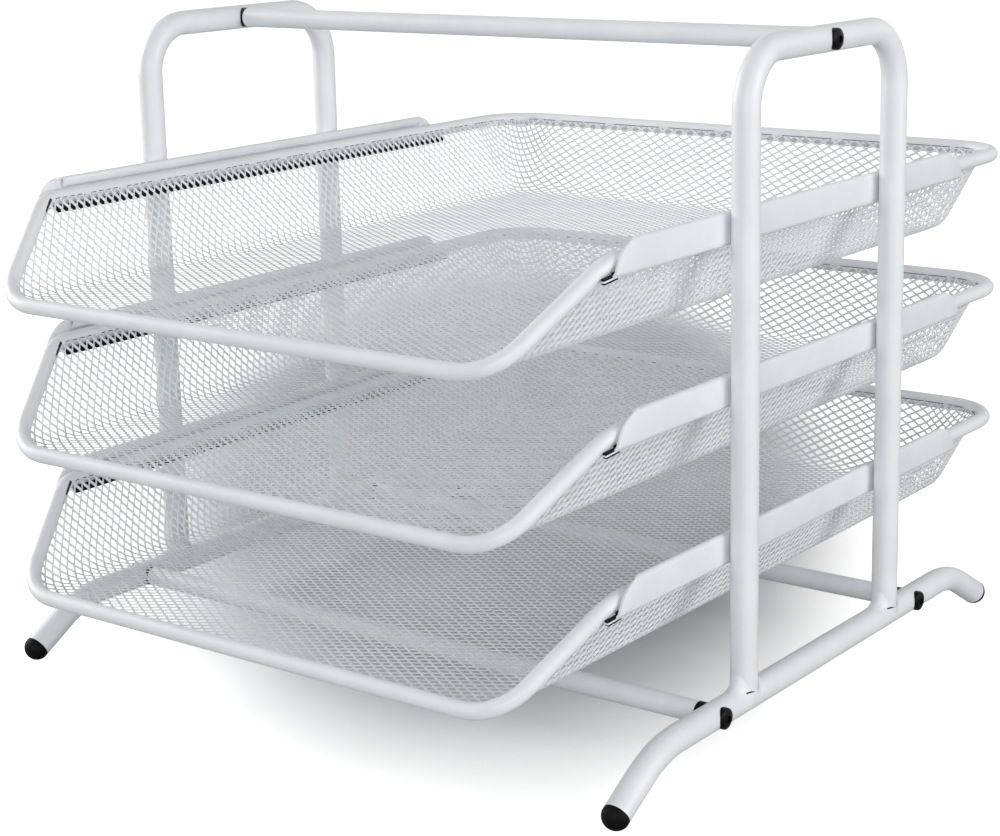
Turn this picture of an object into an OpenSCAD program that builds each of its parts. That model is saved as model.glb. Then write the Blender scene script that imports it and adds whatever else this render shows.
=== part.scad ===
// Three-tier letter tray. Two bent-tube side frames, joined by three cross bars, carry six channel rails,
// and three wire-rimmed trays of expanded mesh slide forward out of the rails, on plastic glide strips.
// +X is the right-hand side, +Y the back and +Z up. The origin is on the desk, under the trays' middle.

/* [Tray rims] */
// Depth of a tray over its rim, front to back
tray_d = 347; // [320:1:380]
// Diameter of the rim rod
rim_d = 6; // [5:0.5:7]
// Height of the side rim above the front rim, centre to centre
wall_h = 32; // [24:1:38]
// How far a tray's walls lean outwards between floor and rim
wall_lean = 18.4; // [8:0.1:19]
// Length over which the rim climbs from the front to the sides
climb_d = 39; // [30:1:60]
// Bend radius of the rim at the rear corners
rear_bend_r = 23; // [22:1:40]
// Bend radius of the rim at the top of its climb
climb_bend_r = 18; // [12:1:40]
// Bend radius of the rim at the front corners
front_bend_r = 21; // [12:1:28]

/* [Mesh] */
// Long way of a mesh diamond
mesh_long = 26; // [20:1:40]
// Short way of a mesh diamond
mesh_short = 21; // [16:1:32]
// Width of a mesh strand
strand_w = 1.6; // [1:0.1:2.5]
// Thickness of the mesh sheet
sheet_t = 1; // [0.6:0.1:1.2]

/* [Side frames] */
// Distance between the middles of the left and right frame tubes
frame_w = 284; // [260:1:310]
// Outer diameter of the frame tube
tube_d = 10; // [8:0.5:13]
// Wall of the frame tube
tube_wall = 1; // [0.8:0.1:1.5]
// Distance between the middles of a hoop's two uprights
upright_gap = 107; // [90:0.5:140]
// Height of a hoop's top above the foot bars, centre to centre
hoop_h = 229.5; // [215:0.5:260]
// Bend radius of a hoop's top corners
hoop_bend_r = 20; // [14:1:35]
// How far the frame's middle sits in front of the trays' middle
frame_forward = 8.5; // [-5:0.5:12]

/* [Feet] */
// Length of a foot bar from a cross bar to the corner of its bend
foot_run = 36; // [28:1:50]
// Bend radius of a foot bar
foot_bend_r = 45; // [20:1:60]
// Angle by which the ends of a foot bar dip
foot_dip = 30; // [20:1:40]
// Length of a foot bar from the corner of its bend to its end
foot_tip = 28.5; // [26:0.5:40]
// Height of a foot cap's collar
cap_collar = 1.5; // [1:0.1:3]
// Height of a foot cap's dome
cap_dome = 4; // [3:0.1:4.5]
// Length of a foot cap's plug inside the tube
cap_plug = 9; // [5:0.5:12]
// Depth of the flat that a foot cap stands on
cap_flat = 0.4; // [0.2:0.1:0.8]

/* [Rails] */
// Height of a rail's web
rail_h = 12; // [11:0.5:16]
// Sheet thickness of a rail
rail_t = 1; // [0.8:0.1:1.2]
// Length of a rail along its lower edge
rail_len = 249; // [200:1:280]
// How much shorter a rail's upper edge is at each end
rail_rake = 12; // [6:0.5:14]
// Radius of a rail's rounded ends
rail_end_r = 16; // [13:0.5:30]
// Outer radius of the fold between a rail's web and its flange
rail_fold_r = 1.8; // [1.5:0.1:2.5]
// Height of the hem folded in along a rail's upper edge
hem_h = 2.5; // [1.5:0.1:3]
// Height of the lowest rails above the foot bars' middle
first_rail = 49.4; // [45:0.1:60]
// Height from one tier to the next
tier_pitch = 57; // [50:0.1:65]

/* [Glide strips] */
// Height of a glide strip's round nose
glide_h = 3; // [2.6:0.1:3.4]
// Thickness of a glide strip's legs above and below the flange
glide_t = 0.5; // [0.4:0.1:0.8]
// Thickness of a glide strip in front of the flange's edge
glide_nose = 1; // [0.8:0.1:1.4]
// Distance of a glide strip's rear end from the rail's rear end
glide_short = 1; // [0.5:0.5:4]

/* [Cross bars] */
// Outer diameter of a cross bar
bar_d = 8; // [7:0.5:10]
// Wall of a cross bar
bar_wall = 1; // [0.6:0.1:1.2]
// Distance from an upright to the lower cross bar beside it, centre to centre
bar_step = 20.5; // [14:0.5:28]
// Least thickness of the saddle between a cross bar and a frame tube
saddle_t = 1.2; // [0.8:0.1:3]
// Length of the threaded insert in the end of a cross bar
insert_len = 10; // [6:1:20]
// Diameter of a screw's shank
screw_d = 4; // [3:0.5:4.5]
// Length of a screw below its head
screw_len = 20; // [16:1:30]
// Diameter of a screw's head
head_d = 7.6; // [6:0.1:8]
// Height of a screw's head
head_h = 1.4; // [1.2:0.1:3]
// Width of the hexagon socket in a screw's head, corner to corner
socket_d = 2.9; // [2:0.1:3.5]
// Depth of the hexagon socket
socket_h = 0.9; // [0.6:0.1:1.1]

/* [Clearances] */
// Side gap between a tray's rim and a rail's web
tray_gap = 0.5; // [0.3:0.1:1]
// Gap between a tray's rim and the glide strip under it
rim_lift = 0.3; // [0.3:0.1:0.6]
// Gap between a glide strip and the mesh wall beside it
glide_gap = 0.5; // [0.4:0.1:0.8]
// How far the flange's front edge reaches past the start of the rim's climb
stop_play = 2; // [0:0.1:2.2]
// Gap in a welded joint
weld_gap = 0.1; // [0.05:0.05:0.2]
// Gap between the mesh and the rim, and along the mesh's folds
mesh_gap = 0.1; // [0.05:0.05:0.3]
// Radial play of a plug or an insert in its tube
plug_play = 0.05; // [0.02:0.01:0.1]
// Play of a glide strip on its flange
clip_play = 0.05; // [0.02:0.01:0.1]
// Radial play of a screw in its clearance hole
hole_play = 0.15; // [0.05:0.05:0.4]
// Radial play of a screw in its insert
thread_play = 0.05; // [0.02:0.01:0.1]
// How far a tube or rod is drawn down all round in a bend
bend_draw = 0.05; // [0.02:0.01:0.1]

/* [Hidden] */
$fn = 64;

paint = "whitesmoke";
black = [0.07, 0.07, 0.08];
steel = "silver";

left = -1;
right = 1;
front = -1;
rear = 1;
bottom_tier = 0;
middle_tier = 1;
top_tier = 2;

// Extra length of every cut, so that no two faces of a cut lie in one plane
cut = 1;
// Overlap of a straight run into the bend after it
bend_lap = 0.4;
// Straight steps in the rounded corners of the mesh
round_steps = 4;

tube_r = tube_d / 2;
bar_r = bar_d / 2;
rim_r = rim_d / 2;
tube_x = frame_w / 2;
frame_y = -frame_forward;

// Foot caps end in part of a ball, cut flat where it stands on the desk
cap_ball_r = (tube_r * tube_r + cap_dome * cap_dome) / (2 * cap_dome);
cap_ball_at = cap_collar + cap_dome - cap_ball_r;
bar_y = upright_gap / 2 + bar_step;
foot_corner = bar_y + foot_run;
foot_z = (foot_tip + cap_ball_at) * sin(foot_dip) + cap_ball_r - cap_flat;
hoop_z = foot_z + hoop_h;
bar_end = tube_x - tube_r - saddle_t;
// Where the handle and the two lower cross bars meet the side frames, as Y and Z
handle_place = [frame_y, hoop_z];
front_bar_place = [frame_y - bar_y, foot_z];
rear_bar_place = [frame_y + bar_y, foot_z];
bar_places = [handle_place, front_bar_place, rear_bar_place];

// Rails stand against the inside of the uprights, and the rims ride on the glide strips of their flanges
rail_x = tube_x - tube_r - weld_gap;
rim_x = rail_x - rail_t - tray_gap - rim_r;
rim_y = tray_d / 2 - rim_r;
rim_over_rail = rail_t + clip_play + glide_t + rim_lift + rim_r;
floor_x = rim_x - wall_lean;
climb_y = climb_d - rim_y;
wall_len = norm([wall_lean, wall_h]);
wall_up = [wall_lean, wall_h] / wall_len;
mesh_edge = rim_r + mesh_gap;
fold_edge = sheet_t / 2 + mesh_gap;
// A glide strip's round nose stays clear of the mesh wall, and the flange ends inside the nose
glide_r = glide_h / 2;
glide_top = rail_t + clip_play + glide_t;
glide_mid_z = glide_top - glide_r;
nose_clear = (sheet_t / 2 + glide_gap + glide_r) / wall_up.y;
glide_mid_x = rim_x + nose_clear - wall_lean * (rim_over_rail - glide_mid_z) / wall_h;
flange_x = glide_mid_x - glide_r + glide_nose + clip_play;
glide_back = rail_x - rail_fold_r - clip_play;

function rail_z(tier) = foot_z + first_rail + tier * tier_pitch;
function rim_z(tier) = rail_z(tier) + rim_over_rail;
function floor_z(tier) = rim_z(tier) - wall_h;

function unit(v) = v / norm(v);
function upright_to(v) = unit(abs(v.z) < 0.9 ? cross(v, [0, 0, 1]) : cross(v, [1, 0, 0]));
function next(i, n) = (i + 1) % n;
function prior(i, n) = (i + n - 1) % n;

// Places children with their X and Y along two square directions
module set_along(x_way, y_way, place) {
    z_way = cross(x_way, y_way);
    multmatrix([for (i = [0:2]) [x_way[i], y_way[i], z_way[i], place[i]]]) children();
}

// Half the angle between the two runs that meet at a corner of a path
function half_angle(path, i) =
    let (n = len(path), p = path[i])
    acos(unit(path[prior(i, n)] - p) * unit(path[next(i, n)] - p)) / 2;

// Length of a corner's runs that its bend takes up
function bend_reach(path, radii, i) = radii[i] == 0 ? 0 : radii[i] / tan(half_angle(path, i));
function bend_start(path, radii, i, towards) =
    path[i] + unit(path[towards] - path[i]) * bend_reach(path, radii, i);

module rod_run(path, radii, i, d) {
    n = len(path);
    j = next(i, n);
    from = bend_start(path, radii, i, j);
    to = bend_start(path, radii, j, i);
    way = unit(to - from);
    lap_from = radii[i] == 0 ? 0 : bend_lap;
    lap_to = radii[j] == 0 ? 0 : bend_lap;
    side = upright_to(way);
    set_along(side, cross(way, side), from - way * lap_from)
        cylinder(d = d, h = norm(to - from) + lap_from + lap_to);
}

module rod_bend(path, radii, i, d) {
    n = len(path);
    before = unit(path[prior(i, n)] - path[i]);
    after = unit(path[next(i, n)] - path[i]);
    half = half_angle(path, i);
    centre = path[i] + unit(before + after) * radii[i] / sin(half);
    set_along(unit(bend_start(path, radii, i, prior(i, n)) - centre), -before, centre)
        rotate_extrude(angle = 180 - 2 * half)
            translate([radii[i], 0]) circle(d = d - 2 * bend_draw);
}

// Round rod along a path of straight runs, bent to a radius at each corner that has one
module bent_rod(path, radii, d, closed = false) {
    n = len(path);
    for (i = [0:n - 1]) {
        if (closed || i < n - 1) rod_run(path, radii, i, d);
        if (radii[i] > 0) rod_bend(path, radii, i, d);
    }
}

// Bent tube with open ends
module bent_tube(path, radii, d, wall) {
    n = len(path);
    first = path[0] + unit(path[0] - path[1]) * cut;
    last = path[n - 1] + unit(path[n - 1] - path[n - 2]) * cut;
    bore = [for (i = [0:n - 1]) i == 0 ? first : i == n - 1 ? last : path[i]];
    difference() {
        bent_rod(path, radii, d);
        bent_rod(bore, radii, d - 2 * wall);
    }
}

// Hole across a frame tube for the screw at one bar place
module screw_hole(side, place) {
    translate([side * tube_x, place.x, place.y])
        rotate([0, 90, 0])
            cylinder(d = screw_d + 2 * hole_play, h = tube_d + 2 * cut, center = true);
}

// Outside of the right-hand frame tube round one bar place, with the play of what sits on it
module tube_outline(place) {
    translate([tube_x, place.x, place.y])
        rotate([90, 0, 0])
            cylinder(r = tube_r + plug_play, h = head_d + bar_d, center = true);
}

// Inverted U of tube, coped at both ends to sit on the foot bar
module hoop(side) {
    x = side * tube_x;
    near = frame_y - upright_gap / 2;
    far = frame_y + upright_gap / 2;
    path = [[x, near, foot_z], [x, near, hoop_z], [x, far, hoop_z], [x, far, foot_z]];
    color(paint) difference() {
        bent_tube(path, [0, hoop_bend_r, hoop_bend_r, 0], tube_d, tube_wall);
        translate([x, frame_y, foot_z])
            rotate([90, 0, 0])
                cylinder(r = tube_r + weld_gap, h = upright_gap + 2 * tube_d, center = true);
        screw_hole(side, handle_place);
    }
}

// Fore-and-aft tube whose ends dip to the desk
module foot_bar(side) {
    x = side * tube_x;
    tip = [foot_tip * cos(foot_dip), foot_tip * sin(foot_dip)];
    path = [
        [x, frame_y - foot_corner - tip.x, foot_z - tip.y],
        [x, frame_y - foot_corner, foot_z],
        [x, frame_y + foot_corner, foot_z],
        [x, frame_y + foot_corner + tip.x, foot_z - tip.y]
    ];
    color(paint) difference() {
        bent_tube(path, [0, foot_bend_r, foot_bend_r, 0], tube_d, tube_wall);
        screw_hole(side, front_bar_place);
        screw_hole(side, rear_bar_place);
    }
}

// Rubber cap with a collar and dome outside the tube and a plug inside it
module foot_cap(side, end) {
    y = frame_y + end * (foot_corner + foot_tip * cos(foot_dip));
    z = foot_z - foot_tip * sin(foot_dip);
    color(black) difference() {
        translate([side * tube_x, y, z])
            rotate([-end * (90 + foot_dip), 0, 0])
                rotate_extrude() {
                    translate([0, -cap_plug]) square([tube_r - tube_wall - plug_play, cap_plug]);
                    square([tube_r, cap_collar]);
                    intersection() {
                        translate([0, cap_ball_at]) circle(r = cap_ball_r);
                        translate([0, cap_collar]) square([tube_r, cap_dome + cut]);
                    }
                }
        translate([side * tube_x - tube_d, y - tube_d, -tube_d]) cube([2 * tube_d, 2 * tube_d, tube_d]);
    }
}

// Cross-section of a right-hand rail: web, flange under the rim and a hem folded in at the top
module rail_section() {
    translate([rail_x - rail_t, rail_fold_r]) square([rail_t, rail_h - rail_fold_r]);
    translate([flange_x, 0]) square([rail_x - rail_fold_r - flange_x, rail_t]);
    translate([rail_x - 2 * rail_t, rail_h - hem_h]) square([rail_t, hem_h]);
    intersection() {
        translate([rail_x - rail_fold_r, rail_fold_r]) difference() {
            circle(r = rail_fold_r);
            circle(r = rail_fold_r - rail_t);
        }
        translate([rail_x - rail_fold_r, 0]) square(rail_fold_r);
    }
}

// What is cut off a rail's end, seen from the side with the end at the left and its lower corner at 0, 0
module rail_end_cut() {
    chord = norm([rail_rake, rail_h]);
    inward = sqrt(rail_end_r * rail_end_r - chord * chord / 4);
    difference() {
        translate([-cut, -cut]) square([rail_rake + cut, rail_h + 2 * cut]);
        translate([rail_rake, rail_h] / 2 + [rail_h, -rail_rake] / chord * inward) circle(r = rail_end_r);
    }
}

// Where a rail's flange begins, at the foot of the rim's climb
function flange_front(tier) =
    max(bend_start(rim_path(tier), rim_radii, 1, 0).y - stop_play, frame_y - rail_len / 2);

// Folded sheet channel, with rounded ends and its flange cut back where the rim climbs
module rail(side, tier) {
    half = rail_len / 2;
    notch_x = rail_x - (rail_t + rail_fold_r) / 2;
    color(paint) mirror([side == left ? 1 : 0, 0, 0]) translate([0, 0, rail_z(tier)]) difference() {
        translate([0, frame_y + half, 0])
            rotate([90, 0, 0]) linear_extrude(rail_len) rail_section();
        for (end = [front, rear])
            translate([flange_x - cut, frame_y + end * half, 0])
                mirror([0, end == rear ? 1 : 0, 0])
                    rotate([90, 0, 90]) linear_extrude(rail_x - flange_x + 2 * cut) rail_end_cut();
        translate([flange_x - cut, frame_y - half - cut, -cut])
            cube([notch_x - flange_x + cut, flange_front(tier) - frame_y + half + cut, rail_fold_r + cut]);
    }
}

// Cross-section of a right-hand glide strip: round nose and two legs, with a slot for the flange
module glide_section() {
    difference() {
        union() {
            intersection() {
                translate([glide_mid_x, glide_mid_z]) circle(r = glide_r);
                translate([glide_mid_x - glide_h, glide_mid_z - glide_h]) square([glide_h, 2 * glide_h]);
            }
            translate([glide_mid_x, -clip_play - glide_t])
                square([glide_back - glide_mid_x, glide_top + clip_play + glide_t]);
        }
        translate([flange_x - clip_play, -clip_play]) square([rail_x - flange_x, rail_t + 2 * clip_play]);
    }
}

// Plastic strip clipped over a rail's flange, on which the rim slides
module glide(side, tier) {
    from = flange_front(tier);
    to = frame_y + rail_len / 2 - glide_short;
    color(black) mirror([side == left ? 1 : 0, 0, 0]) translate([0, to, rail_z(tier)])
        rotate([90, 0, 0]) linear_extrude(to - from) glide_section();
}

// Tube between the two side frames
module cross_bar(place) {
    color(paint) translate([-bar_end, place.x, place.y])
        rotate([0, 90, 0])
            difference() {
                cylinder(d = bar_d, h = 2 * bar_end);
                translate([0, 0, -cut]) cylinder(d = bar_d - 2 * bar_wall, h = 2 * bar_end + 2 * cut);
            }
}

// Pair of plastic saddles that fill in between a bar's square ends and the round frame tubes
module saddles(place) {
    color(black) for (side = [left, right]) mirror([side == left ? 1 : 0, 0, 0])
        difference() {
            translate([bar_end, place.x, place.y]) rotate([0, 90, 0]) cylinder(d = bar_d, h = tube_r);
            tube_outline(place);
            translate([bar_end - cut, place.x, place.y])
                rotate([0, 90, 0]) cylinder(d = screw_d + 2 * hole_play, h = tube_r + 2 * cut);
        }
}

// Threaded steel inserts pressed into both ends of every cross bar
module bar_inserts() {
    color(steel) for (side = [left, right], place = bar_places) mirror([side == left ? 1 : 0, 0, 0])
        translate([bar_end - insert_len, place.x, place.y])
            rotate([0, 90, 0])
                difference() {
                    cylinder(r = bar_r - bar_wall - plug_play, h = insert_len);
                    translate([0, 0, -cut])
                        cylinder(d = screw_d + 2 * thread_play, h = insert_len + 2 * cut);
                }
}

// Button-head screws, whose heads are hollowed underneath to sit on the round tubes
module bar_screws() {
    head_ball_r = (head_d * head_d / 4 + head_h * head_h) / (2 * head_h);
    crown = tube_r + head_h;
    color(black) for (side = [left, right], place = bar_places) mirror([side == left ? 1 : 0, 0, 0]) {
        difference() {
            translate([tube_x, place.x, place.y]) rotate([0, 90, 0]) difference() {
                intersection() {
                    cylinder(d = head_d, h = crown + cut);
                    translate([0, 0, crown - head_ball_r]) sphere(r = head_ball_r);
                }
                translate([0, 0, crown - socket_h]) cylinder(d = socket_d, h = socket_h + cut, $fn = 6);
            }
            tube_outline(place);
        }
        translate([tube_x + tube_r - screw_len, place.x, place.y])
            rotate([0, 90, 0]) cylinder(d = screw_d, h = screw_len + (head_h - socket_h) / 2);
    }
}

// Corners of a rim and their bends: rear right, then round by the right side, the front and the left side
rim_radii = [rear_bend_r, climb_bend_r, front_bend_r, front_bend_r, climb_bend_r, rear_bend_r];
function rim_path(tier) = let (top = rim_z(tier), low = floor_z(tier)) [
    [rim_x, rim_y, top], [rim_x, climb_y, top], [floor_x, -rim_y, low],
    [-floor_x, -rim_y, low], [-rim_x, climb_y, top], [-rim_x, rim_y, top]
];

// Closed loop of rod round a tray: level at the sides and rear, and down to the floor at the front
module tray_rim(tier) {
    color(paint) bent_rod(rim_path(tier), rim_radii, rim_d, closed = true);
}

// Line of an outline's edge after moving it inwards; outlines run anticlockwise
function moved_edge(a, b, m) = let (way = unit(b - a), shift = [-way.y, way.x] * m) [a + shift, b + shift];
function side_of(p, edge) = cross(edge[1] - edge[0], p - edge[0]);
function crossing(p, q, edge) =
    let (u = side_of(p, edge), v = side_of(q, edge)) p + (q - p) * u / (u - v);

// Outline with each edge moved inwards by its own margin
function inset(outline, margins) =
    let (
        n = len(outline),
        edges = [for (i = [0:n - 1]) moved_edge(outline[i], outline[next(i, n)], margins[i])]
    )
    [for (i = [0:n - 1]) crossing(edges[prior(i, n)][0], edges[prior(i, n)][1], edges[i])];

// Outline with some of its corners rounded
function rounded(outline, radii) = [
    for (i = [0:len(outline) - 1])
        if (radii[i] == 0) outline[i]
        else
            let (
                n = len(outline),
                half = half_angle(outline, i),
                before = unit(outline[prior(i, n)] - outline[i]),
                after = unit(outline[next(i, n)] - outline[i]),
                centre = outline[i] + unit(before + after) * radii[i] / sin(half),
                start = bend_start(outline, radii, i, prior(i, n)) - centre
            )
            each [
                for (s = [0:round_steps])
                    let (turn = (180 - 2 * half) * s / round_steps)
                    centre + start * cos(turn) + [-start.y, start.x] * sin(turn)
            ]
];

// Part of a convex shape that lies inside a convex outline
function trimmed(shape, edge) = [
    for (i = [0:len(shape) - 1])
        let (p = shape[i], q = shape[next(i, len(shape))], u = side_of(p, edge), v = side_of(q, edge))
        each concat(u >= 0 ? [p] : [], u * v < 0 ? [crossing(p, q, edge)] : [])
];
function inside(shape, outline, i = 0) =
    i == len(outline) || len(shape) < 3 ? shape
    : inside(trimmed(shape, [outline[i], outline[next(i, len(outline))]]), outline, i + 1);
function area(shape) =
    len(shape) < 3 ? 0
    : let (n = len(shape), twice = [for (i = [0:n - 1]) cross(shape[i], shape[next(i, n)])])
      twice * [for (i = [0:n - 1]) 0.5];

// Expanded mesh over an outline: rows of diamonds, each row half a diamond along from the last
module mesh_sheet(outline) {
    field = inset(outline, [for (p = outline) strand_w]);
    low = [min([for (p = outline) p.x]), min([for (p = outline) p.y])];
    high = [max([for (p = outline) p.x]), max([for (p = outline) p.y])];
    strand_reach = strand_w / 2 * norm([mesh_long, mesh_short]);
    half_long = mesh_long / 2 - strand_reach / mesh_short;
    half_short = mesh_short / 2 - strand_reach / mesh_long;
    diamond = [[half_long, 0], [0, half_short], [-half_long, 0], [0, -half_short]];
    least_gap = 2 * strand_w * strand_w;
    linear_extrude(sheet_t, center = true) difference() {
        polygon(outline);
        for (row = [floor(2 * low.y / mesh_short):ceil(2 * high.y / mesh_short)])
            for (column = [floor(low.x / mesh_long) - 1:ceil(high.x / mesh_long)])
                let (
                    middle = [(column + abs(row % 2) / 2) * mesh_long, row * mesh_short / 2],
                    gap = inside([for (p = diamond) middle + p], field)
                )
                if (area(gap) > least_gap) polygon(gap);
    }
}

// Flat mesh floor, from the front rim back to the folds of the three walls
module tray_floor(tier) {
    foot = rim_y - wall_lean;
    front_r = bend_reach(rim_path(tier), rim_radii, 2) - fold_edge;
    rear_r = rear_bend_r - wall_lean - fold_edge;
    edge = inset([[-floor_x, -rim_y], [floor_x, -rim_y], [floor_x, foot], [-floor_x, foot]],
        [mesh_edge, fold_edge, fold_edge, fold_edge]);
    color(paint) translate([0, 0, floor_z(tier)])
        mesh_sheet(rounded(edge, [front_r, front_r, rear_r, rear_r]));
}

// Sloping side wall; its mesh carries on from the floor's, as in one folded sheet
module side_wall(side, tier) {
    wall = [
        [floor_x, -rim_y], [floor_x + wall_len, climb_y],
        [floor_x + wall_len, rim_y - rear_bend_r], [floor_x, rim_y - rear_bend_r]
    ];
    edge = inset(wall, [mesh_edge, mesh_edge, mesh_gap, mesh_gap]);
    color(paint) mirror([side == left ? 1 : 0, 0, 0])
        set_along([wall_up.x, 0, wall_up.y], [0, 1, 0], [floor_x, 0, floor_z(tier)])
            translate([-floor_x, 0, 0]) mesh_sheet(rounded(edge, [0, climb_bend_r - mesh_edge, 0, 0]));
}

// Sloping rear wall between the corners
module rear_wall(tier) {
    x = rim_x - rear_bend_r;
    foot = rim_y - wall_lean;
    edge = inset([[-x, foot], [x, foot], [x, foot + wall_len], [-x, foot + wall_len]],
        [mesh_gap, mesh_gap, mesh_edge, mesh_gap]);
    color(paint) set_along([1, 0, 0], [0, wall_up.x, wall_up.y], [0, foot, floor_z(tier)])
        translate([0, -foot, 0]) mesh_sheet(edge);
}

// Both rear corners, where the sheet is drawn round into part of a cone
module corners(tier) {
    gaps = 3;
    foot_r = rear_bend_r - wall_lean;
    middle_r = rear_bend_r - wall_lean / 2;
    half_tall = (wall_len - mesh_edge) / 2 - 2 * strand_w;
    half_wide = middle_r * sin(45 / gaps) - strand_w / 2;
    lean = atan2(wall_lean, wall_h);
    color(paint) for (side = [left, right]) mirror([side == left ? 1 : 0, 0, 0])
        translate([rim_x - rear_bend_r, rim_y - rear_bend_r, floor_z(tier)]) difference() {
            rotate_extrude(angle = 90) translate([foot_r, 0]) rotate(-lean)
                translate([-sheet_t / 2, mesh_gap]) square([sheet_t, wall_len - mesh_edge - mesh_gap]);
            for (i = [0:gaps - 1])
                rotate([0, 0, 90 / gaps * (i + 0.5)]) translate([middle_r, 0, wall_h / 2])
                    rotate([0, 90 + lean, 0]) linear_extrude(4 * sheet_t, center = true)
                        polygon([[half_tall, 0], [0, half_wide], [-half_tall, 0], [0, -half_wide]]);
        }
}

hoop(left);  // hoop_left
hoop(right);  // hoop_right
foot_bar(left);  // foot_bar_left
foot_bar(right);  // foot_bar_right
rail(left, bottom_tier);  // rail_bottom_left
rail(right, bottom_tier);  // rail_bottom_right
rail(left, middle_tier);  // rail_middle_left
rail(right, middle_tier);  // rail_middle_right
rail(left, top_tier);  // rail_top_left
rail(right, top_tier);  // rail_top_right
glide(left, bottom_tier);  // glide_bottom_left
glide(right, bottom_tier);  // glide_bottom_right
glide(left, middle_tier);  // glide_middle_left
glide(right, middle_tier);  // glide_middle_right
glide(left, top_tier);  // glide_top_left
glide(right, top_tier);  // glide_top_right
cross_bar(handle_place);  // handle_bar
cross_bar(front_bar_place);  // front_cross_bar
cross_bar(rear_bar_place);  // rear_cross_bar
saddles(handle_place);  // handle_saddles
saddles(front_bar_place);  // front_bar_saddles
saddles(rear_bar_place);  // rear_bar_saddles
bar_inserts();
bar_screws();
foot_cap(left, front);  // foot_cap_front_left
foot_cap(right, front);  // foot_cap_front_right
foot_cap(left, rear);  // foot_cap_rear_left
foot_cap(right, rear);  // foot_cap_rear_right
tray_rim(bottom_tier);  // bottom_tray_rim
tray_floor(bottom_tier);  // bottom_tray_floor
side_wall(left, bottom_tier);  // bottom_tray_left_wall
side_wall(right, bottom_tier);  // bottom_tray_right_wall
rear_wall(bottom_tier);  // bottom_tray_rear_wall
corners(bottom_tier);  // bottom_tray_corners
tray_rim(middle_tier);  // middle_tray_rim
tray_floor(middle_tier);  // middle_tray_floor
side_wall(left, middle_tier);  // middle_tray_left_wall
side_wall(right, middle_tier);  // middle_tray_right_wall
rear_wall(middle_tier);  // middle_tray_rear_wall
corners(middle_tier);  // middle_tray_corners
tray_rim(top_tier);  // top_tray_rim
tray_floor(top_tier);  // top_tray_floor
side_wall(left, top_tier);  // top_tray_left_wall
side_wall(right, top_tier);  // top_tray_right_wall
rear_wall(top_tier);  // top_tray_rear_wall
corners(top_tier);  // top_tray_corners
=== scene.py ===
import math

import bmesh
import bpy
from mathutils import Matrix, Vector


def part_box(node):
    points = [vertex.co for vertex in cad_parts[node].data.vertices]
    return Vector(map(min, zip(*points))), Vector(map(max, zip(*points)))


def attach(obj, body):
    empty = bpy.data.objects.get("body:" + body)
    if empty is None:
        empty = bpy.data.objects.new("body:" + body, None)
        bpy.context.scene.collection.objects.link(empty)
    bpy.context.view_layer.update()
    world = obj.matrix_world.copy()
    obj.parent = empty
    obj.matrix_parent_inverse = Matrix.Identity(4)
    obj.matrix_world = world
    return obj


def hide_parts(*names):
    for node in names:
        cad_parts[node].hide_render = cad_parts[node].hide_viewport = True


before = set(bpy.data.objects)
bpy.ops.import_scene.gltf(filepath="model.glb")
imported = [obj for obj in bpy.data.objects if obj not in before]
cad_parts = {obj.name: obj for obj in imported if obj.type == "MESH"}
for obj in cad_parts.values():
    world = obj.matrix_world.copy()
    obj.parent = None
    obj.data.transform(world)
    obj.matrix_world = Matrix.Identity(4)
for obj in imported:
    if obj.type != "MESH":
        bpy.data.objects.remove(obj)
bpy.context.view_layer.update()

MM = 0.001


# Side frames: a hoop of bent steel tube on each side, coped and welded on a foot bar whose ends dip to the desk.
# Both are powder-coated after welding, so one white skin runs over tube, bend and weld.
def srgb(code):
    """Linear colour of an sRGB hex value."""
    parts = [int(code[i:i + 2], 16) / 255 for i in (1, 3, 5)]
    linear = [p / 12.92 if p <= 0.04045 else ((p + 0.055) / 1.055) ** 2.4 for p in parts]
    return (*linear, 1)


def start_material(name, **shader):
    """New material whose own shader has the given constants on its sockets."""
    material = bpy.data.materials.new(name)
    material.use_nodes = True
    for socket, value in shader.items():
        material.node_tree.nodes["Principled BSDF"].inputs[socket.replace("_", " ")].default_value = value
    return material


def add_node(material, kind, links=(), **settings):
    """One node with its settings, and links given as (from node, its output, to node, its input)."""
    node = material.node_tree.nodes.new(kind)
    for key, value in settings.items():
        if hasattr(node, key):
            setattr(node, key, value)
        else:
            node.inputs[key.replace("_", " ")].default_value = value
    for source, output, target, entry in links:
        material.node_tree.links.new((source or node).outputs[output], (target or node).inputs[entry])
    return node


def shade_skin(material, light, dark, cloud, grain, depth, gloss, dull):
    """Two near tones and a wandering roughness in soft clouds, and a fine grain in relief, with sizes in mm."""
    shader = material.node_tree.nodes["Principled BSDF"]
    place = add_node(material, "ShaderNodeTexCoord")
    clouds = add_node(material, "ShaderNodeTexNoise", [(place, "Object", None, "Vector")],
                      Scale=1 / (cloud * MM), Detail=3.0, Roughness=0.6)
    tone = add_node(material, "ShaderNodeValToRGB",
                    [(clouds, "Fac", None, "Fac"), (None, "Color", shader, "Base Color")])
    tone.color_ramp.elements[0].position, tone.color_ramp.elements[0].color = 0.35, srgb(dark)
    tone.color_ramp.elements[1].position, tone.color_ramp.elements[1].color = 0.65, srgb(light)
    add_node(material, "ShaderNodeMapRange", [(clouds, "Fac", None, "Value"), (None, "Result", shader, "Roughness")],
             From_Min=0.3, From_Max=0.7, To_Min=gloss, To_Max=dull)
    relief = add_node(material, "ShaderNodeTexNoise", [(place, "Object", None, "Vector")],
                      Scale=1 / (grain * MM), Detail=2.0, Roughness=0.5)
    add_node(material, "ShaderNodeBump", [(relief, "Fac", None, "Height"), (None, "Normal", shader, "Normal")],
             Strength=0.25, Distance=depth * MM)


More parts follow.
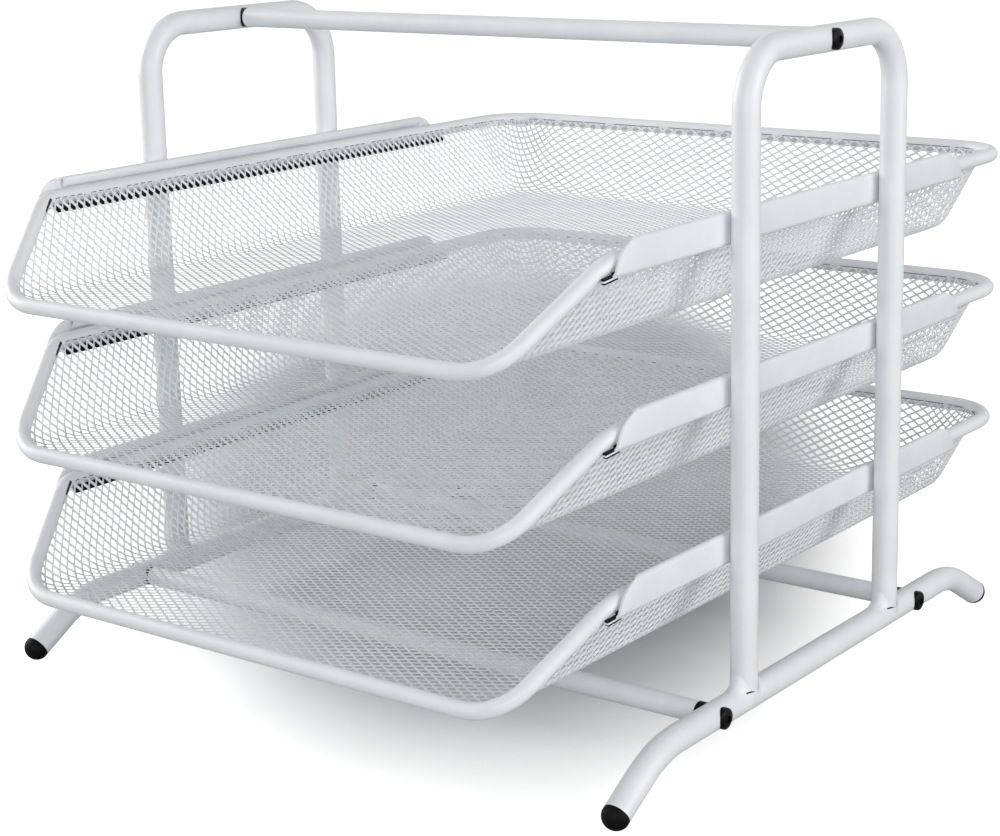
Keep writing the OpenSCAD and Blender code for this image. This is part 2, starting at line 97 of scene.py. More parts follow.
# Polyester powder coat, sprayed and baked: an even cool white with a soft satin gloss and a fine orange peel
frame_coat = start_material("white_powder_coat", IOR=1.5, Specular_IOR_Level=0.4)
shade_skin(frame_coat, "#EEF1F4", "#E9ECF0", cloud=18, grain=1.6, depth=0.02, gloss=0.34, dull=0.42)


def finish_nodes(material, *nodes):
    for name in nodes:
        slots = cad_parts[name].data.materials
        slots.clear()
        slots.append(material)


finish_nodes(frame_coat, "hoop_left", "hoop_right", "foot_bar_left", "foot_bar_right")


# Welds: each upright stands on its foot bar in a bead of weld that is thick at the front and rear of the tube.
# On the outer side the bead runs out at a short slit, whose shade is painted as a near-black band on the closed bead.
# Painted shade for the slits at the welds and at the basket edges: almost black, dull and a little brown
painted_slit_shade = start_material("painted_shade_in_slits", Metallic=0.2)
shade_skin(painted_slit_shade, "#1D1C1C", "#121213", cloud=2, grain=0.4, depth=0.03, gloss=0.5, dull=0.7)

tube_radius = 5 * MM
bead_size = 5.5 * MM
bead_thin = 0.2 * MM
bead_swell = 1.5
bead_proud = 0.15 * MM
bead_root = 0.8
cut_height = 3.9 * MM
bead_sides = 72
bead_turns = (0, 22.5, 45, 67.5, 90)
slit_from, slit_to = math.radians(-50), math.radians(-12)
slit_gap = 0.6 * MM


def bead_point(around, turn):
    """Place on the bead's hollow face, at an angle round the upright and a turn from the upright to the bar."""
    out, fore = math.cos(around), math.sin(around)
    size = bead_thin + (bead_size - bead_thin) * abs(fore) ** bead_swell
    joint = Vector((tube_radius * out, tube_radius * fore, tube_radius * abs(fore)))
    across = max(-1.0, min((tube_radius + size) * out / tube_radius, 1.0)) * tube_radius
    on_bar = Vector((across, (tube_radius + size) * fore, math.sqrt(max(tube_radius ** 2 - across ** 2, 0))))
    on_upright = Vector((joint.x, joint.y, max(joint.z + size, cut_height)))
    proud = Vector((out, fore, 0)) * bead_proud
    return joint + (on_upright - joint) * (1 - math.sin(turn)) + (on_bar - joint) * (1 - math.cos(turn)) + proud


def next_ring(bm, edges):
    """Carry an open edge loop on by a band of faces, and give the loop at the band's far side."""
    grown = bmesh.ops.extrude_edge_only(bm, edges=edges)["geom"]
    return [g for g in grown if isinstance(g, bmesh.types.BMEdge) and g.is_boundary]


def weld_bead():
    """Closed ring of weld round an upright's foot, with the tubes' crossing at the origin and the outside at +X."""
    bm = bmesh.new()
    bmesh.ops.create_circle(bm, segments=bead_sides, radius=tube_radius)
    edges = bm.edges[:]
    rings = [(math.radians(turn), 1) for turn in bead_turns] + [(math.pi / 4, bead_root), (0, 1)]
    for step, (turn, share) in enumerate(rings):
        if step:
            edges = next_ring(bm, edges)
        for vertex in {v for e in edges for v in e.verts}:
            vertex.co = bead_point(math.atan2(vertex.co.y, vertex.co.x), turn) * share
    bmesh.ops.remove_doubles(bm, verts=bm.verts[:], dist=0.001 * MM)
    for height in (cut_height - slit_gap / 2, cut_height + slit_gap / 2):
        bmesh.ops.bisect_plane(bm, geom=bm.verts[:] + bm.edges[:] + bm.faces[:], plane_co=(0, 0, height),
                               plane_no=(0, 0, 1))
    # Faces in the slit band take the second material, which is the painted shade of the slit, not a real finish.
    for face in bm.faces:
        middle = face.calc_center_median()
        in_slit = slit_from < math.atan2(middle.y, middle.x) < slit_to
        face.material_index = int(in_slit and abs(middle.z - cut_height) < slit_gap / 2)
    bmesh.ops.recalc_face_normals(bm, faces=bm.faces[:])
    return bm


def add_piece(name, bm, body, slot, *materials, replaces=(), sharp=35):
    """Object made of a finished mesh, shaded smooth up to an angle, that rides on a body."""
    for face in bm.faces:
        face.smooth = True
    for edge in bm.edges:
        edge.smooth = not edge.is_manifold or edge.calc_face_angle() < math.radians(sharp)
    mesh = bpy.data.meshes.new(name)
    bm.to_mesh(mesh)
    for material in materials:
        mesh.materials.append(material)
    piece = bpy.data.objects.new(name, mesh)
    bpy.context.scene.collection.objects.link(piece)
    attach(piece, body)
    if replaces:
        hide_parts(*replaces)
    return piece


def add_copy(bm, source, matrix):
    """Copy one mesh into another at a place, turned right way out where the place mirrors it."""
    part = source.copy()
    bmesh.ops.transform(part, matrix=matrix, verts=part.verts[:])
    if matrix.determinant() < 0:
        bmesh.ops.reverse_faces(part, faces=part.faces[:])
    scratch = bpy.data.meshes.new("scratch")
    part.to_mesh(scratch)
    part.free()
    bm.from_mesh(scratch)
    bpy.data.meshes.remove(scratch)


bead = weld_bead()
sides = (("left", -1), ("right", 1))
for side, sign in sides:
    hoop_low, hoop_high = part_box(f"hoop_{side}")
    foot_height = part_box(f"foot_bar_{side}")[1].z - tube_radius
    beads = bmesh.new()
    for upright in (hoop_low.y + tube_radius, hoop_high.y - tube_radius):
        place = Matrix.Translation(((hoop_low.x + hoop_high.x) / 2, upright, foot_height))
        add_copy(beads, bead, place @ Matrix.Diagonal((sign, 1, 1, 1)))
    add_piece(f"weld_beads_{side}", beads, "frame", "frame_coat", frame_coat, painted_slit_shade)
    beads.free()
bead.free()


# Rails: six channels folded from 1 mm sheet steel, with a flange at the bottom and the top edge curled to a hem.
# Their ends are sheared to a curve, and each is welded to its two uprights before the coating.
rail_low, rail_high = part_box("rail_top_right")
flange_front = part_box("glide_top_right")[0].y
rail_sheet = 1 * MM
rail_thick = 0.95 * rail_sheet
rail_fold = 1.8 * MM
rail_height = rail_high.z - rail_low.z
hem_depth = 3.9 * MM
hem_radius = 1.5 * MM
hem_set_in = 2.05 * rail_sheet
hem_short = 2 * MM
end_rake = 12 * MM
end_radius = 16 * MM
end_cuts = 9
edge_round = 0.22 * MM


def draw_to(bm, vertex, x, z):
    """Carry an outline on in a straight line."""
    (end,) = bmesh.ops.extrude_vert_indiv(bm, verts=[vertex])["verts"]
    end.co = (x, vertex.co.y, z)
    return end


def bend_round(bm, vertex, x, z, angle, steps):
    """Carry an outline on in an arc about a centre."""
    turned = bmesh.ops.spin(bm, geom=[vertex], cent=(x, vertex.co.y, z), axis=(0, 1, 0), dvec=(0, 0, 0), angle=angle,
                            steps=steps, use_duplicate=False)
    return next(g for g in turned["geom_last"] if isinstance(g, bmesh.types.BMVert))


def cut_off(bm, point, outward):
    bmesh.ops.bisect_plane(bm, geom=bm.verts[:] + bm.edges[:] + bm.faces[:], plane_co=point, plane_no=outward,
                           clear_outer=True)


def round_edges(bm, size, sharp=50):
    """Soften the edges as a sprayed coat or a mould does."""
    edges = [e for e in bm.edges if e.is_manifold and e.calc_face_angle() > math.radians(sharp)]
    bmesh.ops.bevel(bm, geom=edges, offset=size, affect="EDGES", segments=2, profile=0.5, material=-1,
                    clamp_overlap=True)


channel = bmesh.new()
tip = channel.verts.new((rail_low.x, rail_high.y, 0))
tip = draw_to(channel, tip, rail_high.x - rail_fold, 0)
tip = bend_round(channel, tip, rail_high.x - rail_fold, rail_fold, -math.pi / 2, steps=4)
tip = draw_to(channel, tip, rail_high.x, rail_height - hem_radius)
tip = bend_round(channel, tip, rail_high.x - hem_radius, rail_height - hem_radius, -math.pi, steps=6)
tip = draw_to(channel, tip, rail_high.x - hem_set_in, rail_height - hem_depth)
edges = channel.edges[:]
hem_rear = rail_high.y - end_rake - hem_short
hem_front = rail_low.y + end_rake + hem_short
for run in (hem_rear - rail_high.y, hem_front - hem_rear, flange_front - hem_front, rail_low.y - flange_front):
    grown = bmesh.ops.extrude_edge_only(channel, edges=edges)["geom"]
    ends = [g for g in grown if isinstance(g, bmesh.types.BMVert)]
    bmesh.ops.translate(channel, verts=ends, vec=(0, run, 0))
    edges = [e for e in channel.edges if all(v in ends for v in e.verts)]
spare = []
for face in channel.faces:
    middle = face.calc_center_median()
    in_notch = middle.y < flange_front and middle.z < 0.01 * MM
    past_hem = not hem_front < middle.y < hem_rear and middle.x < rail_high.x - hem_radius and middle.z > rail_fold
    if in_notch or past_hem:
        spare.append(face)
bmesh.ops.delete(channel, geom=spare, context="FACES")
chord = math.hypot(end_rake, rail_height)
inward = math.sqrt(end_radius ** 2 - chord ** 2 / 4)
arc_y = end_rake / 2 + rail_height / chord * inward
arc_z = rail_height / 2 - end_rake / chord * inward
arc_from = math.atan2(rail_height - arc_z, end_rake - arc_y)
arc_to = math.atan2(-arc_z, -arc_y)
for cut in range(end_cuts):
    turn = arc_from + (arc_to - arc_from) * cut / (end_cuts - 1)
    for end, sense in ((rail_low.y, 1), (rail_high.y, -1)):
        outward = Vector((0, sense * math.cos(turn), math.sin(turn)))
        cut_off(channel, Vector((0, end + sense * arc_y, arc_z)) + end_radius * outward, outward)
bmesh.ops.recalc_face_normals(channel, faces=channel.faces[:])
web = max(channel.faces, key=lambda f: f.calc_area())
if web.normal.x < 0:
    bmesh.ops.reverse_faces(channel, faces=channel.faces[:])
bmesh.ops.solidify(channel, geom=channel.faces[:], thickness=rail_thick)
round_edges(channel, edge_round)

tiers = ("bottom", "middle", "top")
for tier in tiers:
    for side, sign in sides:
        rail = bmesh.new()
        add_copy(rail, channel, Matrix.Translation((0, 0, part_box(f"rail_{tier}_{side}")[0].z))
                 @ Matrix.Diagonal((sign, 1, 1, 1)))
        add_piece(f"{tier}_{side}_channel", rail, "frame", "frame_coat", frame_coat, replaces=[f"rail_{tier}_{side}"])
        rail.free()
channel.free()


# Glide strips: black plastic clipped along each rail's flange, so that the rim slides on plastic and not on steel.
# At the front a narrow tongue of the flange is bent down and out of the rim's way, and the strip covers it.
# Injection-moulded nylon: near black, with a dull sheen and a fine moulded grain
black_plastic = start_material("black_moulded_nylon", IOR=1.53, Specular_IOR_Level=0.12)
shade_skin(black_plastic, "#0B0B0C", "#070708", cloud=6, grain=0.5, depth=0.02, gloss=0.4, dull=0.55)

glide_low, glide_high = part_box("glide_top_right")
glide_top = glide_high.z - rail_low.z
glide_nose = 1.4 * MM
glide_leg = 0.5 * MM
clip_gap = 0.05 * MM
lower_leg_end = rail_high.x - 3.3 * MM
nose_x = rail_high.x - 5.3 * MM
mould_round = 0.12 * MM

glide = bmesh.new()
start = glide.verts.new((nose_x, glide_high.y, glide_top))
tip = bend_round(glide, start, nose_x, glide_top - glide_nose, -math.pi, steps=8)
for x, z in ((lower_leg_end, -clip_gap - glide_leg), (lower_leg_end, -clip_gap),
             (rail_low.x - clip_gap, -clip_gap), (rail_low.x - clip_gap, rail_sheet + clip_gap),
             (glide_high.x, rail_sheet + clip_gap), (glide_high.x, glide_top)):
    tip = draw_to(glide, tip, x, z)
glide.edges.new((tip, start))
bmesh.ops.contextual_create(glide, geom=glide.edges[:])
grown = bmesh.ops.extrude_face_region(glide, geom=glide.faces[:])["geom"]
bmesh.ops.translate(glide, verts=[g for g in grown if isinstance(g, bmesh.types.BMVert)],
                    vec=(0, glide_low.y - glide_high.y, 0))
bmesh.ops.recalc_face_normals(glide, faces=glide.faces[:])
round_edges(glide, mould_round, sharp=60)


def rounded_bar(low, high, size):
    """Bar with softened edges between two corners."""
    bm = bmesh.new()
    bmesh.ops.create_cube(bm, size=1)
    bmesh.ops.scale(bm, verts=bm.verts[:], vec=Vector(high) - Vector(low))
    bmesh.ops.translate(bm, verts=bm.verts[:], vec=(Vector(low) + Vector(high)) / 2)
    round_edges(bm, size)
    return bm


lip_from = Vector((rail_high.x - 1.6 * MM, rail_low.y + 2.5 * MM, 0.5 * MM))
lip_to = Vector((rail_high.x - 2.9 * MM, rail_low.y - 3.4 * MM, -0.7 * MM))
lip_length = (lip_to - lip_from).length
lip_turn = Vector((0, -1, 0)).rotation_difference(lip_to - lip_from).to_matrix().to_4x4()
sleeve_wide, sleeve_high, sleeve_round = 0.8 * MM, 1 * MM, 0.2 * MM
tongue_in, tongue_out, tongue_high, tongue_past = 0.5 * MM, 0.95 * MM, 0.3 * MM, 0.2 * MM
sleeve = rounded_bar((-sleeve_wide, -lip_length, -sleeve_high), (sleeve_wide, 0, sleeve_high), sleeve_round)
tongue = rounded_bar((-tongue_in, -lip_length - tongue_past, -tongue_high), (tongue_out, 0, tongue_high), mould_round)
for face in tongue.faces:
    face.material_index = 1
for part in (sleeve, tongue):
    add_copy(glide, part, Matrix.Translation(lip_from) @ lip_turn)
    part.free()
for tier in tiers:
    for side, sign in sides:
        strip = bmesh.new()
        add_copy(strip, glide, Matrix.Translation((0, 0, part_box(f"rail_{tier}_{side}")[0].z))
                 @ Matrix.Diagonal((sign, 1, 1, 1)))
        add_piece(f"{tier}_{side}_glide_strip", strip, "frame", "black_plastic", black_plastic, frame_coat,
                  replaces=[f"glide_{tier}_{side}"])
        strip.free()
glide.free()


# Cross bars: straight steel tubes between the side frames, one as a handle on top and two low between the foot bars.
# They are cut square, coated by themselves, and held at each end by a screw through the frame tube.
finish_nodes(frame_coat, "handle_bar", "front_cross_bar", "rear_cross_bar")


# Saddles: moulded black plastic, each with one hollow face that fits the frame tube and one that takes the bar.
# They are held between the two by the screw's pull.
finish_nodes(black_plastic, "handle_saddles", "front_bar_saddles", "rear_bar_saddles")


# Bar screws: black button heads with a hexagon socket, hollowed underneath to sit on the round tubes.
# Each shank runs through the tube and the saddle into a threaded insert that is pressed into the bar.
# Black-oxide steel: near black, with the soft gleam of an oiled surface
screw_black = start_material("black_oxide_steel", Specular_IOR_Level=0.12)
shade_skin(screw_black, "#090909", "#050505", cloud=1.5, grain=0.5, depth=0.06, gloss=0.28, dull=0.42)
head_radius = 3.9 * MM
head_height = 1.25 * MM
head_wall = 0.75 * MM
head_gap = 0.05 * MM
head_turns = (30, 60, 85)
crown_rings = ((0.62, 0.2 * MM), (0.42, 0.03 * MM))
socket_width = 2.6 * MM
socket_depth = 0.9 * MM
socket_floor = 0.2 * socket_width
shank_radius = 2 * MM
shank_length = 20 * MM
head_sides = 36


def button_screw():
    """Screw along X with the frame tube's middle at the origin and its head at +X."""
    bm = bmesh.new()
    bmesh.ops.create_circle(bm, segments=head_sides, radius=shank_radius, cap_ends=True)
    bmesh.ops.rotate(bm, verts=bm.verts[:], matrix=Matrix.Rotation(math.pi / 2, 3, "Y"))
    bmesh.ops.translate(bm, verts=bm.verts[:], vec=(tube_radius - shank_length, 0, 0))
    edges = bm.edges[:]
    crown = tube_radius + head_height
    seat = tube_radius + head_gap
    brim = tube_radius - head_gap
    profile = [(shank_radius, None, 0), (head_radius, None, 0), (head_radius, brim, 0)]
    for turn in head_turns:
        radius = head_radius - head_wall * (1 - math.cos(math.radians(turn)))
        profile.append((radius, brim + head_wall * math.sin(math.radians(turn)), 0))
    profile += [(share * head_radius, crown - drop, 0) for share, drop in crown_rings]
    profile += [(socket_width / 2, crown, 1), (socket_width / 2, crown - socket_depth, 1)]
    profile.append((socket_floor, crown - socket_depth, 1))
    for radius, height, six_sided in profile:
        edges = next_ring(bm, edges)
        for vertex in {v for e in edges for v in e.verts}:
            around = math.atan2(vertex.co.z, vertex.co.y)
            reach = radius / math.cos((around + math.pi / 6) % (math.pi / 3) - math.pi / 6) if six_sided else radius
            y, z = reach * math.cos(around), reach * math.sin(around)
            vertex.co = (math.sqrt(seat ** 2 - z * z) if height is None else height, y, z)
    bmesh.ops.contextual_create(bm, geom=edges)
    bmesh.ops.recalc_face_normals(bm, faces=bm.faces[:])
    return bm


screw = button_screw()
screws = bmesh.new()
for side, sign in sides:
    tube_low, tube_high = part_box(f"hoop_{side}")
    for bar in ("handle_bar", "front_cross_bar", "rear_cross_bar"):
        bar_low, bar_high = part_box(bar)
        bar_middle = (bar_low + bar_high) / 2
        place = Matrix.Translation(((tube_low.x + tube_high.x) / 2, bar_middle.y, bar_middle.z))
        add_copy(screws, screw, place @ Matrix.Diagonal((sign, 1, 1, 1)))
add_piece("button_head_screws", screws, "frame", "screw_black", screw_black, replaces=["bar_screws"], sharp=40)
screw.free()
screws.free()

# Zinc-plated steel, turned and knurled: bright grey with a soft, uneven sheen
insert_steel = start_material("zinc_plated_steel", Metallic=1.0)
shade_skin(insert_steel, "#C3C4C1", "#AEB0AE", cloud=2, grain=0.25, depth=0.02, gloss=0.25, dull=0.38)
finish_nodes(insert_steel, "bar_inserts")


# Foot caps: moulded black rubber, each a collar and a dome outside and a plug inside.
# The plug is pushed into the foot bar's open end and grips there, with no glue.
# Rubber: deep black and dull, in two near tones with a fine moulded grain
foot_rubber = start_material("black_rubber", IOR=1.52, Specular_IOR_Level=0.1)
shade_skin(foot_rubber, "#0A0A0B", "#060607", cloud=4, grain=0.35, depth=0.03, gloss=0.48, dull=0.66)
finish_nodes(foot_rubber, *(f"foot_cap_{end}_{side}" for end in ("front", "rear") for side, sign in sides))


# Tray rims: steel rod bent to a closed loop, level at the sides and rear and low at the front.
# The loop is butt-welded and ground, and coated together with the mesh that is welded to it.
finish_nodes(frame_coat, *(f"{tier}_tray_rim" for tier in tiers))


# Tray baskets: one sheet of expanded steel mesh each, pressed to a floor with leaning walls at the sides and rear.
# Its edge lies against the inside of the rim, where it is welded, and the basket is coated together with the rim.
# Powder coat on mesh: the same white, a little thinner and duller on the narrow strands; its tones are a touch darker
# than the frame's, as painted shade on the thin strands
mesh_coat = start_material("white_powder_coat_on_mesh", IOR=1.5, Specular_IOR_Level=0.35)
shade_skin(mesh_coat, "#ECEFF2", "#E4E8EB", cloud=14, grain=1.2, depth=0.02, gloss=0.4, dull=0.5)

diamond_long = 6.1 * MM
diamond_short = 3.8 * MM
strand_width = 0.85 * MM
strand_thick = 0.22 * MM
strand_ridge = 0.06 * MM
wall_tilt = 0.36 * MM
floor_tilt = -0.025 * MM
sliver_share = 0.12

rim_low, rim_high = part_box("bottom_tray_rim")
rim_radius = 3 * MM
wall_height = 32 * MM
wall_lean = 15.2 * MM
climb_length = 39 * MM
climb_set_in = 1.2 * MM
rim_side = rim_high.x - rim_radius
rim_front = rim_low.y + rim_radius
rim_rear = rim_high.y - rim_radius
wall_angle = math.atan2(wall_height, wall_lean)
wall_set_in = (rim_radius + strand_thick / 2) / math.sin(wall_angle)
corner_core = 31 * MM
corner_power = 2.93
fold_radius = 10 * MM
core_side = rim_side - corner_core
core_rear = rim_rear - corner_core
fold_at = corner_core - wall_lean - wall_set_in
fold_start = fold_at - fold_radius * math.tan(wall_angle / 2)


def wall_distance(x, y):
    """How far a place on the flat sheet lies outside the part of the floor that pressing leaves alone."""
    across = max(abs(x) - core_side, 0)
    back = max(y - core_rear, 0)
    return (across ** corner_power + back ** corner_power) ** (1 / corner_power)


def pressed(flat):
    """Where a place on the flat sheet comes to lie in the pressed basket, with the floor at height 0."""
    along = wall_distance(flat.x, flat.y)
    if along == 0:
        return Vector((flat.x, flat.y, 0))
    turn = min(max((along - fold_start) / fold_radius, 0), wall_angle)
    straight = max(along - fold_start - fold_radius * wall_angle, 0)
    out = min(along, fold_start) + fold_radius * math.sin(turn) + straight * math.cos(wall_angle)
    up = fold_radius * (1 - math.cos(turn)) + straight * math.sin(wall_angle)
    core = Vector((max(-core_side, min(flat.x, core_side)), min(flat.y, core_rear), 0))
    return core + (Vector((flat.x, flat.y, 0)) - core) * (out / along) + Vector((0, 0, up))


def keep_side(bm, point, outward):
    """Trim the sheet with a plane and drop the slivers of diamonds that are too small to hold a strand."""
    cut_off(bm, point, outward)
    smallest = sliver_share * diamond_long * diamond_short / 2
    bmesh.ops.delete(bm, geom=[f for f in bm.faces if f.calc_area() < smallest], context="FACES")


sheet = bmesh.new()
sheet_cells = 160
bmesh.ops.create_grid(sheet, x_segments=sheet_cells, y_segments=sheet_cells, size=sheet_cells / 2)
bmesh.ops.rotate(sheet, verts=sheet.verts[:], matrix=Matrix.Rotation(math.pi / 4, 3, "Z"))
bmesh.ops.scale(sheet, verts=sheet.verts[:], vec=(diamond_long / math.sqrt(2), diamond_short / math.sqrt(2), 1))
sheet_reach = 48 * MM
front_reach = 8 * MM
for point, outward in (
    ((core_side + sheet_reach, 0, 0), (1, 0, 0)),
    ((-core_side - sheet_reach, 0, 0), (-1, 0, 0)),
    ((0, core_rear + sheet_reach, 0), (0, 1, 0)),
    ((0, rim_front - front_reach, 0), (0, -1, 0)),
):
    cut_off(sheet, point, outward)
seam_at = fold_start + fold_radius * wall_angle / 2
for face in sheet.faces:
    middle = face.calc_center_median()
    face.material_index = int(wall_distance(middle.x, middle.y) > seam_at)
for vertex in sheet.verts:
    vertex.co = pressed(vertex.co)
keep_side(sheet, (0, 0, wall_height), (0, 0, 1))
keep_side(sheet, (0, rim_front + climb_set_in, 0), (0, -wall_height, climb_length))
corner_in, corner_back = 2 * MM, 4 * MM
corner_out, corner_fore, corner_up = 0.65, -0.75, 0.1
for side, sign in sides:
    corner = (sign * (rim_side - wall_lean - wall_set_in - corner_in), rim_front + corner_back, 0)
    keep_side(sheet, corner, (sign * corner_out, corner_fore, corner_up))
bmesh.ops.recalc_face_normals(sheet, faces=sheet.faces[:])
if sum(face.normal.z for face in sheet.faces) < 0:
    bmesh.ops.reverse_faces(sheet, faces=sheet.faces[:])
sheet.normal_update()
edge_line = sheet.copy()

# Each diamond becomes a hole. The strands are twisted out of the sheet's plane, as the expanding of the slit sheet
# leaves them: clearly on the walls, and barely on the floor, which is pressed flat.
lifts = [(vertex, vertex.normal * strand_ridge) for vertex in sheet.verts]
cells = sheet.faces[:]
bmesh.ops.inset_individual(sheet, faces=cells, thickness=strand_width / 2, use_even_offset=True)
for cell in cells:
    middle = cell.calc_center_median()
    slope, tilt = (Vector((0, 0, 1)), wall_tilt) if cell.material_index else (Vector((0, 1, 0)), floor_tilt)
    slope = (slope - cell.normal * cell.normal.dot(slope)).normalized()
    half = max(abs((v.co - middle).dot(slope)) for v in cell.verts)
    for vertex in cell.verts:
        vertex.co -= cell.normal * tilt * (vertex.co - middle).dot(slope) / half
bmesh.ops.delete(sheet, geom=cells, context="FACES")
for vertex, lift in lifts:
    if vertex.is_valid:
        vertex.co += lift


def thicken(bm, thickness):
    """Give a thin sheet its thickness on the side that its normals point away from."""
    bm.normal_update()
    moves = [(vertex, vertex.normal * thickness) for vertex in bm.verts]
    bmesh.ops.extrude_face_region(bm, geom=bm.faces[:])
    for vertex, move in moves:
        vertex.co -= move
    bmesh.ops.recalc_face_normals(bm, faces=bm.faces[:])
    for face in bm.faces:
        face.material_index = 0


def basket_part(index):
    """The floor or the walls of the pressed sheet, given its thickness."""
    bm = sheet.copy()
    bmesh.ops.delete(bm, geom=[f for f in bm.faces if f.material_index != index], context="FACES")
    thicken(bm, strand_thick)
    return bm


basket_floor = basket_part(0)
basket_walls = basket_part(1)
sheet.free()
for tier in tiers:
    lift = Matrix.Translation((0, 0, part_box(f"{tier}_tray_rim")[0].z + rim_radius))
    for part, source, nodes in (
        ("floor", basket_floor, ("floor",)),
        ("walls", basket_walls, ("left_wall", "right_wall", "rear_wall", "corners")),
    ):
        mesh = bmesh.new()
        add_copy(mesh, source, lift)
        add_piece(f"{tier}_mesh_{part}", mesh, f"{tier}_tray", "mesh_coat", mesh_coat,
                  replaces=[f"{tier}_tray_{node}" for node in nodes], sharp=0)
        mesh.free()
basket_floor.free()
basket_walls.free()


# Weld line of the baskets: the mesh's cut edge is welded to the rim strand by strand.
# Between these welds a narrow slit stays open. Its shade is painted as thin near-black strips along the cut edge,
# wider where the rim climbs.
slit_thick = 0.12 * MM
level_slit = 0.3 * MM
climb_slit = 1.1 * MM
climb_lean = 0.3
lowest_slit = 4 * MM
level_close = 0.05 * MM
climb_close = 0.5 * MM
weld_every = 5


def on_cut(place):
    """Whether a place lies on the level cut or the climbing cut along the rim."""
    climb = wall_height * (rim_front + climb_set_in - place.y) + climb_length * place.z
    climb /= math.hypot(wall_height, climb_length)
    return place.z > lowest_slit and (abs(place.z - wall_height) < level_close or abs(climb) < climb_close)


cuts = [e for e in edge_line.edges if e.is_boundary and all(on_cut(v.co) for v in e.verts)]
cuts.sort(key=lambda e: tuple(round((e.verts[0].co + e.verts[1].co)[axis], 4) for axis in range(3)))
cuts = [edge for count, edge in enumerate(cuts) if count % weld_every != 0]
whole = edge_line.faces[:]
for edge in cuts:
    face = edge.link_faces[0]
    first, last = (v.co.copy() for v in edge.verts)
    run = (last - first).normalized()
    way = run.cross(face.normal)
    if way.dot(face.calc_center_median() - first) > 0:
        way = -way
    width = level_slit if abs(way.y) < climb_lean or first.y > 0 else climb_slit
    grown = bmesh.ops.extrude_edge_only(edge_line, edges=[edge])["geom"]
    bmesh.ops.translate(edge_line, verts=[g for g in grown if isinstance(g, bmesh.types.BMVert)], vec=way * width)
bmesh.ops.delete(edge_line, geom=whole, context="FACES")
bmesh.ops.split_edges(edge_line, edges=edge_line.edges[:])
thicken(edge_line, slit_thick)
for tier in tiers:
    line = bmesh.new()
    add_copy(line, edge_line, Matrix.Translation((0, 0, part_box(f"{tier}_tray_rim")[0].z + rim_radius)))
    # Each strip is painted shade for the open slit between two welds.
    add_piece(f"{tier}_slit_shade_strips", line, f"{tier}_tray", "mesh_coat", painted_slit_shade)
    line.free()
edge_line.free()


# Studio: a plain floor of pale grey paper that is white to the camera, apart from a painted shadow: a soft oval under
# and behind the tray where the camera-only whiteness is left out. An even white surround and three large soft lamps.
floor = bpy.data.objects.new("studio_floor", bpy.data.meshes.new("studio_floor"))
bm = bmesh.new()
floor_half = 6
bmesh.ops.create_grid(bm, x_segments=1, y_segments=1, size=floor_half)
bm.to_mesh(floor.data)
bm.free()
bpy.context.scene.collection.objects.link(floor)
shade_middle = (-0.2, 0.25, 0)
shade_half = (0.2, 0.55, 1)
shade_turn = (0, 0, math.radians(37))
shade_core, shade_edge = 0.65, 1.05
floor_paper = start_material("pale_paper_floor", Base_Color=srgb("#C6C6C6"), Roughness=0.9, Specular_IOR_Level=0.1,
                             Emission_Color=(1, 1, 1, 1))
paper = floor_paper.node_tree.nodes["Principled BSDF"]
# The oval where the camera's whiteness fades out is a painted shadow, longer and wider than the lamps alone cast.
spot = add_node(floor_paper, "ShaderNodeTexCoord")
spread = add_node(floor_paper, "ShaderNodeMapping", [(spot, "Object", None, "Vector")], vector_type="TEXTURE",
                  Location=shade_middle, Rotation=shade_turn, Scale=shade_half)
reach = add_node(floor_paper, "ShaderNodeVectorMath", [(spread, "Vector", None, 0)], operation="LENGTH")
fade = add_node(floor_paper, "ShaderNodeMapRange", [(reach, "Value", None, "Value")], interpolation_type="SMOOTHSTEP",
                From_Min=shade_core, From_Max=shade_edge, To_Min=0.0, To_Max=1.0)
seen = add_node(floor_paper, "ShaderNodeLightPath")
add_node(floor_paper, "ShaderNodeMath", [(seen, "Is Camera Ray", None, 0), (fade, "Result", None, 1),
                                         (None, 0, paper, "Emission Strength")], operation="MULTIPLY")
floor.data.materials.append(floor_paper)

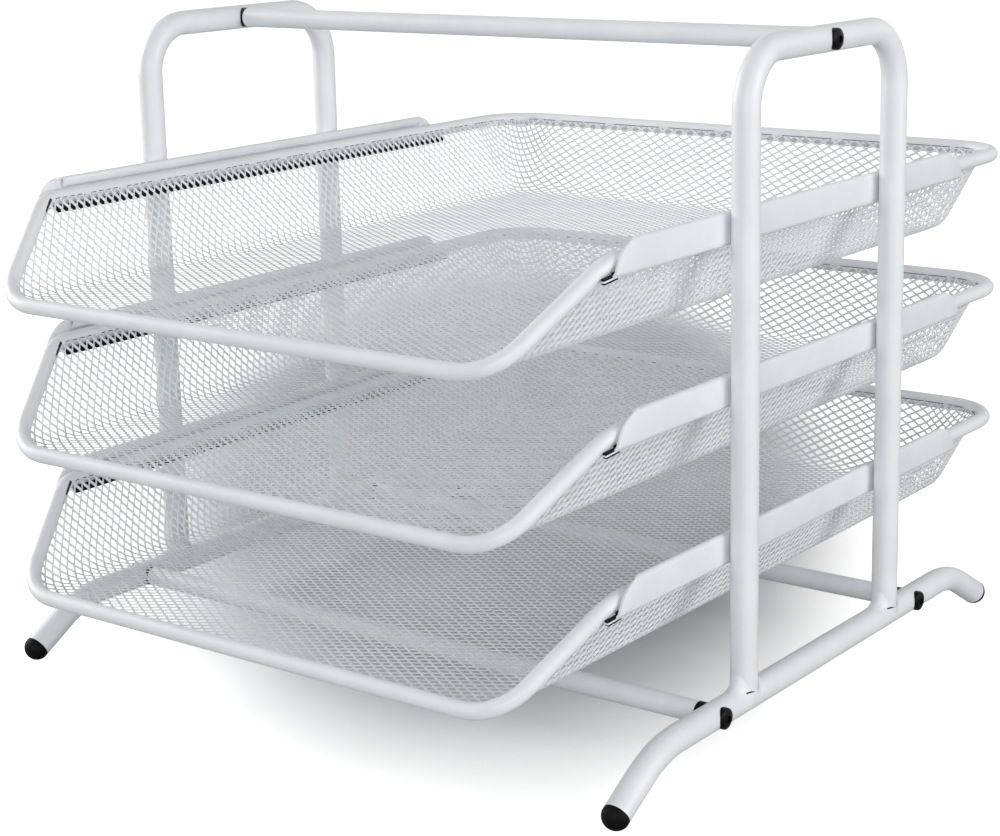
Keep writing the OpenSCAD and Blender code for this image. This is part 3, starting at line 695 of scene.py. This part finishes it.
surround_on_object, surround_seen = 0.25, 1.0
world = bpy.data.worlds.new("white_studio")
bpy.context.scene.world = world
world.use_nodes = True
surround = world.node_tree.nodes["Background"]
surround.inputs["Color"].default_value = (1, 1, 1, 1)
rays = add_node(world, "ShaderNodeLightPath")
bright = add_node(world, "ShaderNodeMath", [(rays, "Is Camera Ray", None, 0), (rays, "Is Glossy Ray", None, 1)],
                  operation="MAXIMUM")
brighter = add_node(world, "ShaderNodeMath", [(bright, 0, None, 0), (rays, "Is Transmission Ray", None, 1)],
                    operation="MAXIMUM")
add_node(world, "ShaderNodeMapRange", [(brighter, 0, None, "Value"), (None, "Result", surround, "Strength")],
         To_Min=surround_on_object, To_Max=surround_seen)

lamp_aim = Vector((0, 0, 0.12))
for name, place, size, power in (
    ("right_softbox", (2.0, 0.2, 0.7), 1.2, 20),
    ("left_softbox", (-1.9, -0.5, 0.8), 1.2, 29),
    ("front_softbox", (0.9, -1.9, 0.6), 1.0, 15),
):
    lamp = bpy.data.lights.new(name, "AREA")
    lamp.size = size
    lamp.energy = power
    stand = bpy.data.objects.new(name, lamp)
    stand.location = place
    stand.rotation_euler = (lamp_aim - Vector(place)).to_track_quat("-Z", "Y").to_euler()
    stand.visible_camera = False
    bpy.context.scene.collection.objects.link(stand)


# Camera: a long lens from the front right, a little above the top tray.
sensor_width = 36
focal_pixels, picture_pixels = 2189.3, 1000
camera_turn, camera_dip, camera_roll = math.radians(37.191), math.radians(13.462), math.radians(-1.251)
lens = bpy.data.cameras.new("front_right_camera")
lens.sensor_width = sensor_width
lens.lens = sensor_width * focal_pixels / picture_pixels
lens.shift_x = -0.00745
lens.shift_y = -0.04097
camera = bpy.data.objects.new("front_right_camera", lens)
camera.matrix_world = (Matrix.Translation((0.52038, -0.69636, 0.31454))
                       @ Matrix.Rotation(camera_turn, 4, "Z")
                       @ Matrix.Rotation(math.pi / 2 - camera_dip, 4, "X")
                       @ Matrix.Rotation(camera_roll, 4, "Z"))
bpy.context.scene.collection.objects.link(camera)
bpy.context.scene.camera = camera
bpy.context.scene.view_settings.view_transform = "Standard"
